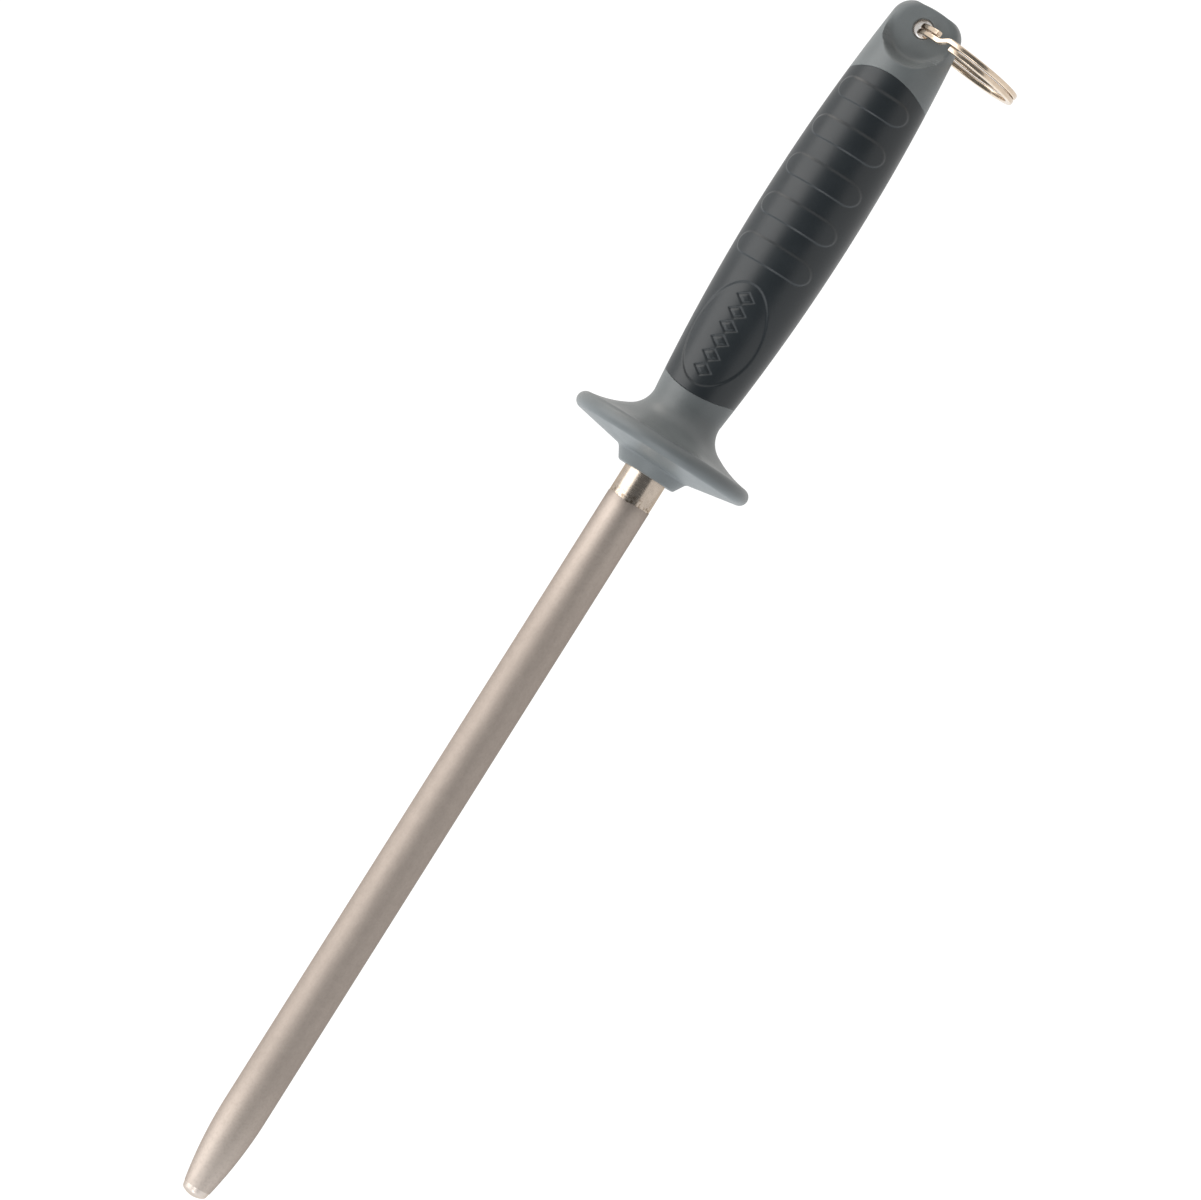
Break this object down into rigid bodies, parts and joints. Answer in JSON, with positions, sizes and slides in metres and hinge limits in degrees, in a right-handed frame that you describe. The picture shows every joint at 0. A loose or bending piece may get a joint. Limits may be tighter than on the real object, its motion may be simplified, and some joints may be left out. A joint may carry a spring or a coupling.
{
  "type": "knife sharpening steel",
  "caption": "Round abrasive-coated sharpening rod with a rounded point, a flared hand guard, a soft-gripped handle and a split ring through its butt.",
  "frame": {"origin": "on the rod's axis, at the handle collar's end face, where the rod leaves the handle", "axes": "+Z along the rod's axis towards the butt of the handle (the point is at -Z), +X towards the side the split ring hangs out at rest, Y along the lanyard hole"},
  "size_m": [0.0573, 0.0538, 0.3758],
  "materials": {
    "rod_steel": "polished",
    "abrasive": "fine grit, bonded",
    "inner_steel": "as drawn",
    "core_plastic": "fine satin",
    "grip_rubber": "soft matte",
    "liner_metal": "bright",
    "ring_metal": "bright"
  },
  "bodies": {
    "steel": {"rod_tube": "rod_steel", "abrasive_coating": "abrasive", "tang": "inner_steel", "tang_pin": "inner_steel", "handle_core": "core_plastic", "grip_sleeve": "grip_rubber", "lanyard_liner": "liner_metal"},
    "ring": {"split_ring": "ring_metal"}
  },
  "joints": [
    {"name": "ring_swing", "type": "hinge", "parent": "steel", "child": "ring", "pos_m": [0, 0, 0.14075], "axis": [0, -1, 0], "range_deg": [-52, 240]}
  ]
}
